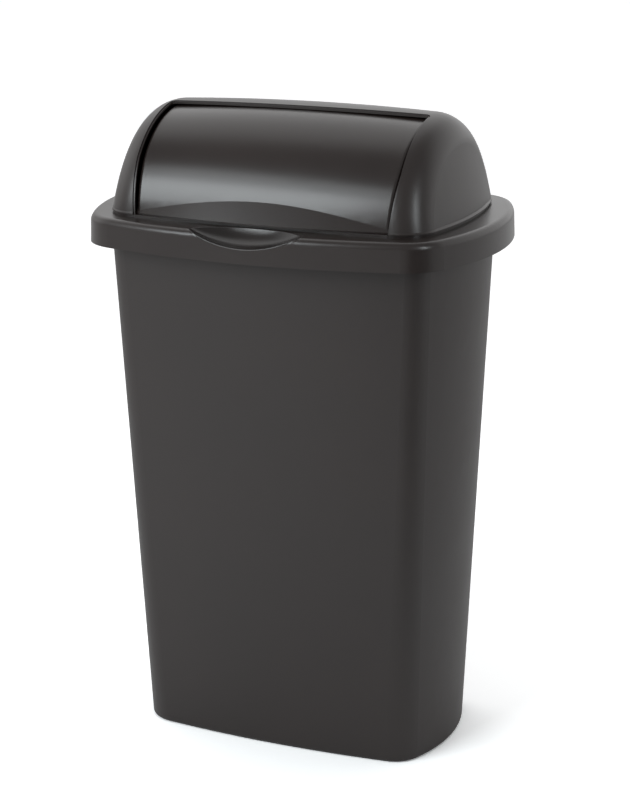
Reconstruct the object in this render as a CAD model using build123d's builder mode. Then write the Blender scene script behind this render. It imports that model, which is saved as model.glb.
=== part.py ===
from build123d import *
from math import atan2, cos, degrees, radians, sin, sqrt, tan
import os

# Roll top trash can. Lengths in millimetres, angles in degrees.
# X runs across the front, -Y is the front, +Z is up, and the origin is the middle of the underside.

# Bin
bin_height = 580.0
bin_wall = 2.4
base_width = 362.8
base_depth = 205.6
base_front_bow = 9.2
base_side_bow = 26.9
base_corner_radius = 36.0
mouth_front_bow = 23.5
mouth_side_bow = 30.5
mouth_corner_radius = 33.0
base_edge_radius = 5.0
foot_ring_width = 12.0
foot_ring_height = 2.5
brim_lip_height = 8.0
brim_edge_radius = 1.2

# Lid frame
lid_width = 456.0
lid_depth = 331.0
lid_front_bow = 28.0
lid_side_bow = 37.6
lid_corner_radius = 55.7
lid_wall = 2.4
skirt_height = 30.7
skirt_draft = 1.2
rim_edge_radius = 7.5
skirt_reach = 10.1
side_overhang = 21.0
front_overhang = 28.25
curb_height = 2.3
aperture_setback = 40.6
ledge_depth = 13.0
back_shelf_depth = 13.3
aperture_corner_radius = 14.0
collar_depth = 26.0
tongue_height = 8.0
tongue_wall = 2.2
seat_rib_thickness = 2.0
seat_rib_length = 21.0
front_rib_place = 105.0
side_rib_place = 62.0
scoop_radius = 27.0
scoop_arc_radius = 128.0
scoop_axis_rise = 10.4
scoop_axis_setback = 10.6
scoop_half_width = 64.0
scoop_edge_radius = 0.8

# Hood
hood_setback = 40.6
hood_crown_radius = 2915.0
hood_axis_y = -1.1
hood_side_setback = 33.4
hood_side_radius = 443.0
hood_lean_angle = 10.1
hood_end_radius = 37.2
hood_wall = 2.4
hood_lip_proud = 1.6
hood_lip_thickness = 1.2
hood_flare_height = 2.4
opening_spread_share = 0.088
opening_spread_height = 58.0
opening_back_y = -18.0
opening_back_bow = 6.5
opening_corner_radius = 6.0
rebate_width = 2.0
rebate_drop = 1.2
rebate_wall = 2.2
rebate_overlap = 1.6

# Door
door_drop = 4.1
door_crown_radius = 2083.0
door_axis_drop = 11.2
door_wall = 2.2
door_spread_share = 0.05
door_end_radius = 5.0
door_back_angle = 104.0
finger_lip_reach = 13.9
finger_lip_end_reach = 0.7
finger_lip_edge = 1.4
finger_lip_slope_share = 0.68
finger_lip_height = 26.0
hub_radius = 10.0
spacer_radius = 7.0
pivot_radius = 4.0
pivot_end_reach = 1.0
socket_boss_radius = 8.5
socket_boss_height = 3.0

# Fits and clearances
resting_gap = 0.3
skirt_clearance = 0.8
tongue_fit = 0.3
pivot_fit = 0.05
cheek_overlap = 7.7
door_side_gap = 9.0
overrun = 5.0

# Levels, from the ground up
skirt_bottom = bin_height - skirt_reach
rim_top = skirt_bottom + skirt_height
curb_top = rim_top + curb_height
door_bottom = curb_top + resting_gap
axis_z = rim_top - door_axis_drop
seat_level = bin_height + resting_gap

# Sizes that follow from others
mouth_width = lid_width - 2 * side_overhang
mouth_depth = lid_depth - 2 * front_overhang
hood_half_width = lid_width / 2 - hood_side_setback
aperture_half_width = hood_half_width - aperture_setback
opening_half_width = aperture_half_width - cheek_overlap
door_half_width = aperture_half_width - door_side_gap
hood_radius = lid_depth / 2 - hood_setback
door_radius = hood_radius - door_drop
aperture_front_y = hood_axis_y - hood_radius + ledge_depth
aperture_back_y = hood_axis_y + hood_radius - back_shelf_depth


def bowed_outline(width, depth, front_bow, side_bow, corner_radius, inset=0):
    """A rounded rectangle whose four sides are arcs that bow outwards, pulled in all round by the inset."""
    front_radius = ((width / 2 - side_bow) ** 2 + front_bow**2) / (2 * front_bow)
    side_radius = ((depth / 2 - front_bow) ** 2 + side_bow**2) / (2 * side_bow)
    # the front arc is centred on Y and the side arc on X, and their crossing is the corner
    centre_y = front_radius - depth / 2
    centre_x = width / 2 - side_radius
    span = sqrt(centre_x**2 + centre_y**2)
    along = ((front_radius - inset) ** 2 - (side_radius - inset) ** 2 + span**2) / (2 * span)
    across = sqrt((front_radius - inset) ** 2 - along**2)
    corner_x = (along * centre_x + across * centre_y) / span
    corner_y = (along * centre_y - across * centre_x) / span - centre_y
    half_width = width / 2 - inset
    half_depth = depth / 2 - inset
    with BuildSketch() as outline:
        with BuildLine():
            ThreePointArc((-corner_x, -corner_y), (0, -half_depth), (corner_x, -corner_y))
            ThreePointArc((corner_x, -corner_y), (half_width, 0), (corner_x, corner_y))
            ThreePointArc((corner_x, corner_y), (0, half_depth), (-corner_x, corner_y))
            ThreePointArc((-corner_x, corner_y), (-half_width, 0), (-corner_x, -corner_y))
        make_face()
        fillet(outline.vertices(), corner_radius - inset)
    return outline.sketch


def base_outline(inset=0):
    return bowed_outline(base_width, base_depth, base_front_bow, base_side_bow, base_corner_radius, inset)


def mouth_outline(inset=0):
    return bowed_outline(
        mouth_width, mouth_depth, mouth_front_bow, mouth_side_bow, mouth_corner_radius, inset
    )


def lid_outline(inset=0):
    return bowed_outline(lid_width, lid_depth, lid_front_bow, lid_side_bow, lid_corner_radius, inset)


def crowned_drum(radius, crown_radius, half_length, axis_y):
    """A solid barrel lying along X, its seam underneath."""
    crown_drop = crown_radius - sqrt(crown_radius**2 - half_length**2)
    end_z = axis_z - radius + crown_drop
    with BuildPart() as drum:
        with BuildSketch(Plane.XZ.offset(-axis_y)):
            with BuildLine():
                ThreePointArc((-half_length, end_z), (0, axis_z - radius), (half_length, end_z))
                Polyline((half_length, end_z), (half_length, axis_z), (-half_length, axis_z), (-half_length, end_z))
            make_face()
        revolve(axis=Axis((0, axis_y, axis_z), (1, 0, 0)))
    return drum.part


# Hood

base_reach = sqrt(hood_radius**2 - (curb_top - axis_z) ** 2)


def hood_outline(half_width, reach, corner_radius, inset=0):
    """A level section of the dome near its base, centred on the hood's axis."""
    side_bow = hood_side_radius - sqrt(hood_side_radius**2 - reach**2)
    crown_drop = hood_crown_radius - sqrt(hood_crown_radius**2 - half_width**2)
    return bowed_outline(2 * half_width, 2 * reach, crown_drop, side_bow, corner_radius, inset)


def hood_plane(level):
    return Plane((0, hood_axis_y, level))


def hood_dome(inset, floor_z):
    """The whole dome before its opening is cut: a barrel between bowed, leaning ends, rounded together."""
    floor_half_width = hood_half_width - inset + (curb_top - floor_z) * tan(radians(hood_lean_angle))
    side_radius = hood_side_radius - inset
    half_depth = hood_radius + overrun
    end_x = floor_half_width - side_radius + sqrt(side_radius**2 - half_depth**2)
    with BuildPart() as dome:
        with BuildSketch(Plane.XY.offset(floor_z)):
            with BuildLine():
                ThreePointArc((end_x, -half_depth), (floor_half_width, 0), (end_x, half_depth))
                Line((end_x, half_depth), (-end_x, half_depth))
                ThreePointArc((-end_x, half_depth), (-floor_half_width, 0), (-end_x, -half_depth))
                Line((-end_x, -half_depth), (end_x, -half_depth))
            make_face()
        extrude(amount=axis_z + hood_radius + overrun - floor_z, taper=hood_lean_angle)
        barrel = crowned_drum(hood_radius - inset, hood_crown_radius, hood_half_width + overrun, hood_axis_y)
        add(barrel, mode=Mode.INTERSECT)
        end_edges = dome.edges().filter_by(lambda edge: edge.center().Z > axis_z + hood_radius / 2)
        fillet(end_edges, hood_end_radius - inset)
    return dome.part


def opening_prism(inset):
    """What the opening takes away, from the front back to the bowed edge of the top bar."""
    low_half_width = opening_half_width - inset
    high_half_width = low_half_width + opening_spread_share * opening_spread_height
    spread_top = curb_top + opening_spread_height
    prism_bottom = curb_top - overrun
    prism_top = axis_z + hood_radius + overrun
    prism_front_y = hood_axis_y - hood_radius - overrun
    back_end_y = opening_back_y + opening_back_bow - inset
    with BuildPart() as prism:
        with BuildSketch(Plane.XZ):
            with BuildLine():
                Polyline(
                    (-low_half_width, prism_bottom),
                    (low_half_width, prism_bottom),
                    (low_half_width, curb_top),
                    (high_half_width, spread_top),
                    (high_half_width, prism_top),
                    (-high_half_width, prism_top),
                    (-high_half_width, spread_top),
                    (-low_half_width, curb_top),
                    close=True,
                )
            make_face()
        extrude(amount=-prism_front_y)
        with BuildSketch(Plane.XY.offset(prism_bottom)):
            with BuildLine():
                ThreePointArc(
                    (-high_half_width, back_end_y), (0, opening_back_y - inset), (high_half_width, back_end_y)
                )
                Polyline(
                    (high_half_width, back_end_y),
                    (high_half_width, prism_front_y),
                    (-high_half_width, prism_front_y),
                    (-high_half_width, back_end_y),
                )
            make_face()
        extrude(amount=prism_top - prism_bottom, mode=Mode.INTERSECT)
        corner_edges = prism.edges().filter_by(GeomType.LINE)
        corner_edges = corner_edges.filter_by(lambda edge: edge.center().Y > opening_back_y - inset)
        fillet(corner_edges, opening_corner_radius - inset)
    return prism.part


dome_outside = hood_dome(0, curb_top)
dome_inside = hood_dome(hood_wall, curb_top - overrun)
rebate_front = hood_dome(rebate_drop, curb_top)
rebate_rear = hood_dome(rebate_drop + rebate_wall, curb_top - overrun)

# the stepped edge round the opening, which stiffens it
with BuildPart() as opening_rebate:
    add(rebate_front)
    add(rebate_rear, mode=Mode.SUBTRACT)
    add(opening_prism(-rebate_overlap), mode=Mode.INTERSECT)
    add(opening_prism(rebate_width), mode=Mode.SUBTRACT)

with BuildPart() as hood:
    add(dome_outside)
    with BuildSketch(hood_plane(curb_top)):
        add(hood_outline(hood_half_width, base_reach, hood_end_radius, -hood_lip_proud))
    extrude(amount=hood_lip_thickness)
    with BuildSketch(hood_plane(curb_top + hood_lip_thickness)):
        add(hood_outline(hood_half_width, base_reach, hood_end_radius, -hood_lip_proud))
    extrude(amount=hood_flare_height, taper=degrees(atan2(hood_lip_proud, hood_flare_height)))
    add(dome_inside, mode=Mode.SUBTRACT)
    add(opening_prism(0), mode=Mode.SUBTRACT)
    add(opening_rebate.part)

# Lid frame

collar_bottom = rim_top - collar_depth
tongue_top = curb_top + tongue_height
tongue_half_width = hood_half_width - hood_wall - tongue_fit - tongue_height * tan(radians(hood_lean_angle))
tongue_reach = sqrt((hood_radius - hood_wall - tongue_fit) ** 2 - (tongue_top - axis_z) ** 2)
tongue_corner_radius = hood_end_radius - hood_wall
aperture_length = aperture_back_y - aperture_front_y
aperture_middle_y = (aperture_back_y + aperture_front_y) / 2
socket_face_x = aperture_half_width + lid_wall + socket_boss_height


def lid_form(inset, edge_radius):
    """The skirt and top of the lid as one solid block, pulled in by the inset."""
    with BuildPart() as form:
        with BuildSketch(Plane.XY.offset(skirt_bottom)):
            add(lid_outline(inset))
        with BuildSketch(Plane.XY.offset(rim_top - inset)):
            add(lid_outline(inset + skirt_draft))
        loft(ruled=True)
        fillet(form.edges().group_by(Axis.Z)[-1], edge_radius)
    return form.part


def scoop_form(wall):
    """The spindle that hollows the finger scoop, swollen by the wall."""
    scoop_y = scoop_axis_setback - lid_depth / 2
    scoop_z = rim_top + scoop_axis_rise
    arc_radius = scoop_arc_radius + wall
    half_width = scoop_half_width + wall
    middle_z = scoop_z - scoop_radius - wall
    end_z = middle_z + arc_radius - sqrt(arc_radius**2 - half_width**2)
    with BuildPart() as form:
        with BuildSketch(Plane.XZ.offset(-scoop_y)):
            with BuildLine():
                ThreePointArc((-half_width, end_z), (0, middle_z), (half_width, end_z))
                Polyline((half_width, end_z), (half_width, scoop_z), (-half_width, scoop_z), (-half_width, end_z))
            make_face()
        revolve(axis=Axis((0, scoop_y, scoop_z), (1, 0, 0)))
    return form.part


with BuildPart() as seat_ribs:
    with BuildSketch(Plane.XY.offset(seat_level)):
        with Locations((-front_rib_place, 0), (front_rib_place, 0)):
            Rectangle(seat_rib_thickness, lid_depth)
        with Locations((0, -side_rib_place), (0, side_rib_place)):
            Rectangle(lid_width, seat_rib_thickness)
        with Locations((0, lid_depth / 4)):
            Rectangle(seat_rib_thickness, lid_depth / 2)
        add(lid_outline(lid_wall + seat_rib_length), mode=Mode.SUBTRACT)
    extrude(amount=rim_top - lid_wall / 2 - seat_level)
    add(lid_form(lid_wall / 2, rim_edge_radius - lid_wall / 2), mode=Mode.INTERSECT)

lid_block = lid_form(0, rim_edge_radius)

with BuildPart() as scoop_wall:
    add(scoop_form(lid_wall))
    add(lid_block, mode=Mode.INTERSECT)

with BuildPart() as lid_frame:
    add(lid_block)
    add(lid_form(lid_wall, rim_edge_radius - lid_wall), mode=Mode.SUBTRACT)
    add(seat_ribs.part)
    add(scoop_wall.part)
    # the curb, with the hood's seat outside and the tongue inside
    with BuildSketch(hood_plane(rim_top - lid_wall / 2)):
        add(hood_outline(hood_half_width, base_reach, hood_end_radius))
        add(
            hood_outline(tongue_half_width, tongue_reach, tongue_corner_radius, tongue_wall),
            mode=Mode.SUBTRACT,
        )
    extrude(amount=curb_height + lid_wall / 2)
    with BuildSketch(hood_plane(curb_top)):
        add(hood_outline(tongue_half_width, tongue_reach, tongue_corner_radius))
        add(
            hood_outline(tongue_half_width, tongue_reach, tongue_corner_radius, tongue_wall),
            mode=Mode.SUBTRACT,
        )
        # no tongue between the cheeks, where the door comes down
        with Locations((0, -base_reach)):
            Rectangle(2 * aperture_half_width, base_reach, mode=Mode.SUBTRACT)
    extrude(amount=tongue_height)
    # the ledge that the closed door rests on
    with BuildSketch(Plane.XY.offset(rim_top - lid_wall / 2)):
        ledge_front_y = hood_axis_y - tongue_reach
        with Locations((0, (ledge_front_y + aperture_front_y) / 2)):
            Rectangle(2 * (opening_half_width - rebate_width), aperture_front_y - ledge_front_y)
    extrude(amount=curb_height + lid_wall / 2)
    # the collar that hangs in the bin's mouth
    with BuildSketch(Plane((0, aperture_middle_y, collar_bottom))):
        RectangleRounded(
            2 * (aperture_half_width + lid_wall), aperture_length + 2 * lid_wall, aperture_corner_radius + lid_wall
        )
    extrude(amount=collar_depth - lid_wall / 2)
    for side in (-1, 1):
        with BuildSketch(Plane.YZ.offset(side * aperture_half_width)):
            with Locations((hood_axis_y, axis_z)):
                Circle(socket_boss_radius)
        extrude(amount=side * (lid_wall + socket_boss_height))
    with BuildSketch(Plane((0, aperture_middle_y, collar_bottom - overrun))):
        RectangleRounded(2 * aperture_half_width, aperture_length, aperture_corner_radius)
    extrude(amount=collar_depth + overrun + curb_height + tongue_height, mode=Mode.SUBTRACT)
    with BuildSketch(Plane.YZ):
        with Locations((hood_axis_y, axis_z)):
            Circle(pivot_radius + pivot_fit)
    extrude(amount=socket_face_x + overrun, both=True, mode=Mode.SUBTRACT)
    add(scoop_form(0), mode=Mode.SUBTRACT)
    fillet(lid_frame.edges(Select.NEW), scoop_edge_radius)

# Door


def door_slab(inset):
    """The block between the door's two ends, which spread apart upwards."""
    slab_bottom = axis_z - door_radius - overrun
    slab_top = axis_z + door_radius + overrun
    low_half_width = door_half_width - inset + (slab_bottom - door_bottom) * door_spread_share
    high_half_width = door_half_width - inset + (slab_top - door_bottom) * door_spread_share
    with BuildPart() as slab:
        with BuildSketch(Plane.XZ):
            with BuildLine():
                Polyline(
                    (-low_half_width, slab_bottom),
                    (low_half_width, slab_bottom),
                    (high_half_width, slab_top),
                    (-high_half_width, slab_top),
                    close=True,
                )
            make_face()
        extrude(amount=2 * door_radius, both=True)
    return slab.part


def door_drum(inset):
    """The whole barrel that the door is cut from, its two ends rounded."""
    half_length = door_half_width + door_radius * door_spread_share * 2
    with BuildPart() as drum:
        add(crowned_drum(door_radius - inset, door_crown_radius, half_length, hood_axis_y))
        add(door_slab(inset), mode=Mode.INTERSECT)
        end_edges = drum.edges().filter_by(lambda edge: edge.geom_type != GeomType.LINE and edge.length > door_radius)
        fillet(end_edges, door_end_radius - inset)
    return drum.part


door_end_bulge = door_radius - door_crown_radius + sqrt(door_crown_radius**2 - door_half_width**2)
barrel_end_y = hood_axis_y - sqrt(door_end_bulge**2 - (door_bottom - axis_z) ** 2)
lip_end_y = barrel_end_y - finger_lip_end_reach
lip_back_y = lip_end_y + finger_lip_height


def finger_lip(inset, bottom):
    """The flared lip as a solid: an upright edge, then a ramp back to the barrel."""
    # an inner lip turns into its ramp lower down, so that the wall is as thick on the slope
    ramp_drop = inset * (sqrt(1 + finger_lip_slope_share**2) - 1) / finger_lip_slope_share
    edge_top = door_bottom + finger_lip_edge - ramp_drop
    with BuildPart() as lip:
        for level in (bottom, edge_top):
            with BuildSketch(Plane.XY.offset(level)):
                with BuildLine():
                    ThreePointArc(
                        (-door_half_width, lip_end_y + inset),
                        (0, lip_end_y - finger_lip_reach + inset),
                        (door_half_width, lip_end_y + inset),
                    )
                    Polyline(
                        (door_half_width, lip_end_y + inset),
                        (door_half_width, lip_back_y),
                        (-door_half_width, lip_back_y),
                        (-door_half_width, lip_end_y + inset),
                    )
                make_face()
            if level == edge_top:
                extrude(amount=finger_lip_height, dir=(0, finger_lip_slope_share, 1))
            else:
                extrude(amount=edge_top - bottom)
    return lip.part


def door_solid(inset, bottom):
    """Barrel and finger lip together, before the sector is cut out."""
    with BuildPart() as solid:
        add(finger_lip(inset, bottom))
        add(door_slab(inset), mode=Mode.INTERSECT)
        add(door_drum(inset))
    return solid.part


sector_reach = door_radius + finger_lip_reach + overrun
back_run_y = hood_axis_y - sector_reach * cos(radians(door_back_angle))
back_run_z = axis_z + sector_reach * sin(radians(door_back_angle))
end_wall_x = door_half_width - (door_bottom - axis_z) * door_spread_share
spacer_end_x = aperture_half_width - resting_gap

with BuildPart() as roll_door:
    # the closed door in side view, from its level bottom round to its back edge
    with BuildSketch(Plane.YZ):
        with BuildLine():
            Polyline(
                (hood_axis_y, axis_z),
                (aperture_front_y, door_bottom),
                (hood_axis_y - sector_reach, door_bottom),
                (hood_axis_y - sector_reach, axis_z + sector_reach),
                (back_run_y, axis_z + sector_reach),
                (back_run_y, back_run_z),
                close=True,
            )
        make_face()
    extrude(amount=aperture_half_width, both=True)
    add(door_solid(0, door_bottom), mode=Mode.INTERSECT)
    for side in (-1, 1):
        with BuildSketch(Plane.YZ.offset(side * (end_wall_x - door_wall))):
            with Locations((hood_axis_y, axis_z)):
                Circle(hub_radius)
        extrude(amount=side * door_wall)
    add(door_solid(door_wall, door_bottom - overrun), mode=Mode.SUBTRACT)
    for side in (-1, 1):
        with BuildSketch(Plane.YZ.offset(side * (end_wall_x - door_wall))):
            with Locations((hood_axis_y, axis_z)):
                Circle(spacer_radius)
        extrude(amount=side * (spacer_end_x - end_wall_x + door_wall))
        with BuildSketch(Plane.YZ.offset(side * spacer_end_x)):
            with Locations((hood_axis_y, axis_z)):
                Circle(pivot_radius)
        extrude(amount=side * (socket_face_x + pivot_end_reach - spacer_end_x))

# Bin


def bin_form(inset, bottom):
    """The bin's tapered solid from the bottom level to the brim, pulled in by the inset."""
    with BuildPart() as form:
        with BuildSketch():
            add(base_outline(inset))
        with BuildSketch(Plane.XY.offset(bin_height)):
            add(mouth_outline(inset))
        loft(ruled=True)
        if bottom:
            split(bisect_by=Plane.XY.offset(bottom), keep=Keep.TOP)
        fillet(form.edges().group_by(Axis.Z)[0], base_edge_radius - inset)
    return form.part


brim_inset = lid_wall + skirt_draft + skirt_clearance
floor_level = foot_ring_height + bin_wall

with BuildPart() as waste_bin:
    with BuildSketch(Plane.XY.offset(bin_height - brim_lip_height)):
        add(lid_outline(brim_inset))
    extrude(amount=brim_lip_height)
    fillet(waste_bin.edges().group_by(Axis.Z)[-1], brim_edge_radius)
    with BuildSketch(Plane.XY.offset(bin_height - brim_lip_height)):
        add(lid_outline(brim_inset + bin_wall))
    extrude(amount=brim_lip_height - bin_wall, mode=Mode.SUBTRACT)
    add(bin_form(0, 0))
    add(bin_form(bin_wall, floor_level), mode=Mode.SUBTRACT)
    with BuildSketch():
        add(base_outline(foot_ring_width))
    extrude(amount=foot_ring_height, mode=Mode.SUBTRACT)

os.makedirs("parts", exist_ok=True)
waste_bin.part.label = "waste_bin"
export_step(waste_bin.part, "parts/waste_bin.step")
lid_frame.part.label = "lid_frame"
export_step(lid_frame.part, "parts/lid_frame.step")
hood.part.label = "hood"
export_step(hood.part, "parts/hood.step")
roll_door.part.label = "roll_door"
export_step(roll_door.part, "parts/roll_door.step")
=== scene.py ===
import math
import bmesh
import bpy
from mathutils import Matrix, Vector

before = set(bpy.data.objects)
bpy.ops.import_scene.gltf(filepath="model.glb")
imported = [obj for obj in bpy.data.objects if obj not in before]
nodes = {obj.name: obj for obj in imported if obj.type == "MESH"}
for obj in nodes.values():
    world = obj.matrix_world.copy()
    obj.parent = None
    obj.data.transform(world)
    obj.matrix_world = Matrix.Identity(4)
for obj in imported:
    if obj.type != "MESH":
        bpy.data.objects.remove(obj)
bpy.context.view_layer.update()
scene = bpy.context.scene
print("frame loaded:", sorted(nodes))


# helpers for node trees, colours and directions

def newNode(tree, kind, **values):
    node = tree.nodes.new(kind)
    for name, value in values.items():
        setattr(node, name, value)
    return node


def link(tree, source, target):
    tree.links.new(source, target)


def mapRange(tree, source, fromRange, toRange=(0.0, 1.0), curve="LINEAR"):
    node = newNode(tree, "ShaderNodeMapRange", interpolation_type=curve)
    names = ("From Min", "From Max", "To Min", "To Max")
    for name, value in zip(names, (*fromRange, *toRange)):
        node.inputs[name].default_value = value
    link(tree, source, node.inputs["Value"])
    return node.outputs["Result"]


def noise(tree, place, scale, detail):
    node = newNode(tree, "ShaderNodeTexNoise")
    node.inputs["Scale"].default_value = scale
    node.inputs["Detail"].default_value = detail
    link(tree, place, node.inputs["Vector"])
    return node.outputs["Fac"]


def alignment(tree, direction, way):
    # 1 where the direction points along the way, and falls off with the angle
    node = newNode(tree, "ShaderNodeVectorMath", operation="DOT_PRODUCT")
    node.inputs[1].default_value = way
    link(tree, direction, node.inputs[0])
    return node.outputs["Value"]


def splitForCamera(tree, lit, seen, target):
    # the camera sees one shader, and the light in the scene meets the other
    rays = newNode(tree, "ShaderNodeLightPath")
    mix = newNode(tree, "ShaderNodeMixShader")
    link(tree, rays.outputs["Is Camera Ray"], mix.inputs["Fac"])
    link(tree, lit, mix.inputs[1])
    link(tree, seen, mix.inputs[2])
    link(tree, mix.outputs["Shader"], target)


def grey(level):
    return (level, level, level, 1.0)


def sphericalWay(azimuth, elevation):
    # azimuth 0 is straight in front of the object, and turns towards +X
    turn, lift = math.radians(azimuth), math.radians(elevation)
    return Vector((math.sin(turn) * math.cos(lift), -math.cos(turn) * math.cos(lift), math.sin(lift)))


# moulded plastic, shared by the four mouldings

def mouldedPlastic(name, look):
    material = bpy.data.materials.new(name)
    material.use_nodes = True
    tree = material.node_tree
    shader = tree.nodes["Principled BSDF"]
    shader.inputs["IOR"].default_value = look["ior"]
    shader.inputs["Specular IOR Level"].default_value = look["specularLevel"]
    place = newNode(tree, "ShaderNodeTexCoord").outputs["Object"]

    # a faintly cloudy pigment, in patches about ten centimetres across
    cloud = noise(tree, place, look["cloudScale"], look["cloudDetail"])
    pigment = newNode(tree, "ShaderNodeValToRGB")
    stops = zip(pigment.color_ramp.elements, look["cloudRange"], (look["darkColor"], look["paleColor"]))
    for stop, position, color in stops:
        stop.position = position
        stop.color = (*color, 1.0)
    link(tree, cloud, pigment.inputs["Fac"])
    link(tree, pigment.outputs["Color"], shader.inputs["Base Color"])

    # a gloss that changes with the clouds, and the fine grain of the mould
    gloss = mapRange(tree, cloud, look["cloudRange"], look["roughness"])
    link(tree, gloss, shader.inputs["Roughness"])
    bump = newNode(tree, "ShaderNodeBump")
    bump.inputs["Strength"].default_value = look["grainStrength"]
    bump.inputs["Distance"].default_value = look["grainDepth"]
    link(tree, noise(tree, place, look["grainScale"], look["grainDetail"]), bump.inputs["Height"])
    link(tree, bump.outputs["Normal"], shader.inputs["Normal"])
    return material


binLook = {
    "darkColor": (0.0133, 0.0094, 0.0085),
    "paleColor": (0.0168, 0.0119, 0.0107),
    "roughness": (0.46, 0.52),  # where the pigment is dark, and where it is pale
    "ior": 1.49,
    "specularLevel": 0.5,
    "cloudScale": 7.0,
    "cloudDetail": 3.0,
    "cloudRange": (0.3, 0.7),
    "grainScale": 900.0,
    "grainDetail": 2.0,
    "grainStrength": 0.12,
    "grainDepth": 0.0004,
}
lidLook = dict(binLook, roughness=(0.28, 0.33))
hoodLook = dict(binLook, roughness=(0.32, 0.37), grainStrength=0.08)
doorLook = dict(binLook, roughness=(0.22, 0.26), grainStrength=0.05)

finishes = {
    "waste_bin": mouldedPlastic("binPlastic", binLook),
    "lid_frame": mouldedPlastic("lidPlastic", lidLook),
    "hood": mouldedPlastic("hoodPlastic", hoodLook),
    "roll_door": mouldedPlastic("doorPlastic", doorLook),
}
for nodeName, finish in finishes.items():
    for slot in nodes[nodeName].material_slots:
        slot.material = finish
print("plastics made")


# the finger scoop in the lid's front edge, polished, with painted shade that darkens its base colour
# against the satin rim around it

scoopLook = {
    "center": (0.0, -0.1549, 0.6104),
    "reach": (0.069, 0.0272, 0.0272),
    "fullShare": 0.95,  # share of the reach inside which the polish and the painted shade are full
    "roughness": 0.22,
    # painted shade: how far the base colour in the scoop is darkened, standing in for the shade in the
    # recess
    "paintedShadeLevel": 0.45,
}


def polishAndShadeScoop(material, look):
    tree = material.node_tree
    shader = tree.nodes["Principled BSDF"]
    place = newNode(tree, "ShaderNodeTexCoord")
    space = newNode(tree, "ShaderNodeMapping", vector_type="TEXTURE")
    space.inputs["Location"].default_value = look["center"]
    space.inputs["Scale"].default_value = look["reach"]
    link(tree, place.outputs["Object"], space.inputs["Vector"])
    share = newNode(tree, "ShaderNodeVectorMath", operation="LENGTH")
    link(tree, space.outputs["Vector"], share.inputs[0])
    mask = mapRange(tree, share.outputs["Value"], (1.0, look["fullShare"]))

    # painted shade: inside the scoop the base colour is multiplied darker, standing in for the shade
    # under the door's lip
    paintedShadeBlend = newNode(tree, "ShaderNodeMix", data_type="RGBA", blend_type="MULTIPLY")
    paintedShadeBlend.inputs["B"].default_value = grey(look["paintedShadeLevel"])
    polish = newNode(tree, "ShaderNodeMix", data_type="FLOAT")
    polish.inputs["B"].default_value = look["roughness"]
    for blend, socketName in ((paintedShadeBlend, "Base Color"), (polish, "Roughness")):
        socket = shader.inputs[socketName]
        link(tree, mask, blend.inputs["Factor"])
        link(tree, socket.links[0].from_socket, blend.inputs["A"])
        link(tree, blend.outputs["Result"], socket)


polishAndShadeScoop(finishes["lid_frame"], scoopLook)
print("scoop polished")


# floor, with a dark cloth spread at the front right that only the object mirrors

floorLook = {
    "size": 60.0,
    "color": 0.86,
    "seenColor": 1.37,
    "clothColor": 0.08,
    "clothAzimuth": 49.0,
    "clothHalfAngle": 23.0,
    "clothSoftness": 0.3,  # its sides fade over this share of the half angle, in and out
    "clothStart": 0.35,  # distances from the object's middle
    "clothFull": 1.5,
}


def clothMask(tree, look):
    place = newNode(tree, "ShaderNodeTexCoord").outputs["Object"]
    direction = newNode(tree, "ShaderNodeVectorMath", operation="NORMALIZE")
    link(tree, place, direction.inputs[0])
    toCloth = alignment(tree, direction.outputs["Vector"], sphericalWay(look["clothAzimuth"], 0.0))
    sides = [
        math.cos(math.radians(share * look["clothHalfAngle"]))
        for share in (1.0 + look["clothSoftness"], 1.0 - look["clothSoftness"])
    ]
    across = mapRange(tree, toCloth, sides, curve="SMOOTHSTEP")
    distance = newNode(tree, "ShaderNodeVectorMath", operation="LENGTH")
    link(tree, place, distance.inputs[0])
    ends = (look["clothStart"], look["clothFull"])
    along = mapRange(tree, distance.outputs["Value"], ends, curve="SMOOTHSTEP")
    both = newNode(tree, "ShaderNodeMath", operation="MULTIPLY")
    link(tree, across, both.inputs[0])
    link(tree, along, both.inputs[1])
    return both.outputs["Value"]


def floorPaint(look):
    material = bpy.data.materials.new("floorPaint")
    material.use_nodes = True
    tree = material.node_tree
    tree.nodes.clear()
    lit = newNode(tree, "ShaderNodeBsdfDiffuse")
    tone = mapRange(tree, clothMask(tree, look), (0.0, 1.0), (look["color"], look["clothColor"]))
    link(tree, tone, lit.inputs["Color"])
    seen = newNode(tree, "ShaderNodeBsdfDiffuse")
    seen.inputs["Color"].default_value = grey(look["seenColor"])
    out = newNode(tree, "ShaderNodeOutputMaterial")
    splitForCamera(tree, lit.outputs["BSDF"], seen.outputs["BSDF"], out.inputs["Surface"])
    return material


floorMesh = bpy.data.meshes.new("floor")
floorForm = bmesh.new()
bmesh.ops.create_grid(floorForm, x_segments=1, y_segments=1, size=floorLook["size"] / 2)
floorForm.to_mesh(floorMesh)
floorForm.free()
floorMesh.materials.append(floorPaint(floorLook))
floor = bpy.data.objects.new("floor", floorMesh)
scene.collection.objects.link(floor)
print("floor laid")


# studio: a pale room with glows behind and at the left, a large soft box at the front left in
# three parts, the dimmest at the top, and a narrow one at the front right

studioLook = {
    "frontLevel": 0.41,
    "backLevel": 0.32,
    "turn": 0.5,  # the level changes where the direction's y is within this of 0
    "seenLevel": 1.0,
    "lampAim": (0.0, 0.0, 0.62),
    "lampColor": (0.915, 0.975, 1.0),
}
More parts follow.
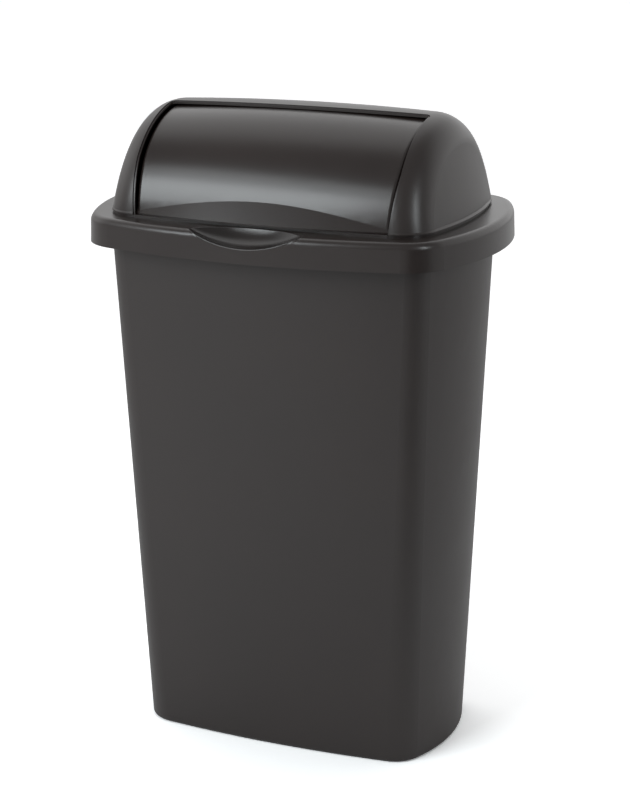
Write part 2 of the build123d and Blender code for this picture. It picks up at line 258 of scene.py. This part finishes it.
# spread is the share of the whole sphere that a glow covers
glowLooks = {
    "rearLeft": {"azimuth": -146.0, "elevation": 52.0, "spread": 0.13, "level": 1.02},
    "rearRight": {"azimuth": 150.0, "elevation": 2.0, "spread": 0.33, "level": 0.86},
    "lowLeft": {"azimuth": -135.0, "elevation": 4.0, "spread": 0.18, "level": 0.42},
    "sideLeft": {"azimuth": -88.0, "elevation": 22.0, "spread": 0.07, "level": 1.0},
}
keyLook = {"azimuth": -30.0, "distance": 2.6, "width": 1.5, "height": 0.5}
edgeLook = {"azimuth": 62.0, "distance": 2.6, "width": 0.35, "height": 1.1}
lampLooks = {
    "keyLow": dict(keyLook, elevation=17.0, power=17.0),
    "keyMiddle": dict(keyLook, elevation=28.0, power=20.5),
    "keyHigh": dict(keyLook, elevation=39.0, power=8.0),
    "edgeBox": dict(edgeLook, elevation=20.0, power=13.5),
}


def roomLevel(tree, look, glows):
    direction = newNode(tree, "ShaderNodeTexCoord").outputs["Generated"]
    split = newNode(tree, "ShaderNodeSeparateXYZ")
    link(tree, direction, split.inputs["Vector"])
    turn = (-look["turn"], look["turn"])
    levels = (look["frontLevel"], look["backLevel"])
    level = mapRange(tree, split.outputs["Y"], turn, levels, curve="SMOOTHSTEP")
    for glow in glows:
        toGlow = alignment(tree, direction, sphericalWay(glow["azimuth"], glow["elevation"]))
        reach = (1.0 - 2.0 * glow["spread"], 1.0)
        added = mapRange(tree, toGlow, reach, (0.0, glow["level"]), curve="SMOOTHERSTEP")
        total = newNode(tree, "ShaderNodeMath", operation="ADD")
        link(tree, level, total.inputs[0])
        link(tree, added, total.inputs[1])
        level = total.outputs["Value"]
    return level


world = bpy.data.worlds.new("studio")
scene.world = world
world.use_nodes = True
worldTree = world.node_tree
worldTree.nodes.clear()
room = newNode(worldTree, "ShaderNodeBackground")
white = newNode(worldTree, "ShaderNodeBackground")
for background in (room, white):
    background.inputs["Color"].default_value = grey(1.0)
link(worldTree, roomLevel(worldTree, studioLook, glowLooks.values()), room.inputs["Strength"])
white.inputs["Strength"].default_value = studioLook["seenLevel"]
worldOut = newNode(worldTree, "ShaderNodeOutputWorld")
splitForCamera(
    worldTree, room.outputs["Background"], white.outputs["Background"], worldOut.inputs["Surface"]
)

for lampName, look in lampLooks.items():
    lamp = bpy.data.lights.new(lampName, "AREA")
    lamp.shape = "RECTANGLE"
    lamp.size = look["width"]
    lamp.size_y = look["height"]
    lamp.energy = look["power"]
    lamp.color = studioLook["lampColor"]
    box = bpy.data.objects.new(lampName, lamp)
    way = sphericalWay(look["azimuth"], look["elevation"])
    box.location = Vector(studioLook["lampAim"]) + look["distance"] * way
    box.rotation_euler = way.to_track_quat("Z", "Y").to_euler()
    box.visible_camera = False
    scene.collection.objects.link(box)
print("studio made")


# camera, as the photograph was taken

cameraLook = {
    "aim": (0.01167, 0.0, 0.37903),
    "azimuth": 23.07,
    "elevation": 16.72,
    "roll": -0.36,
    "distance": 2.25665,
    "lens": 90.24,
    "sensor": 36.0,
    "clipEnd": 100.0,
}

cameraData = bpy.data.cameras.new("camera")
cameraData.sensor_width = cameraLook["sensor"]
cameraData.lens = cameraLook["lens"]
cameraData.clip_end = cameraLook["clipEnd"]
camera = bpy.data.objects.new("camera", cameraData)
scene.collection.objects.link(camera)
back = sphericalWay(cameraLook["azimuth"], cameraLook["elevation"])
azimuth = math.radians(cameraLook["azimuth"])
flat = Vector((math.cos(azimuth), math.sin(azimuth), 0.0))
upright = back.cross(flat)
roll = math.radians(cameraLook["roll"])
right = flat * math.cos(roll) + upright * math.sin(roll)
up = upright * math.cos(roll) - flat * math.sin(roll)
turned = Matrix((right, up, back)).transposed().to_4x4()
cameraPlace = Vector(cameraLook["aim"]) + cameraLook["distance"] * back
camera.matrix_world = Matrix.Translation(cameraPlace) @ turned
scene.camera = camera
scene.view_settings.view_transform = "Standard"
print("camera set")
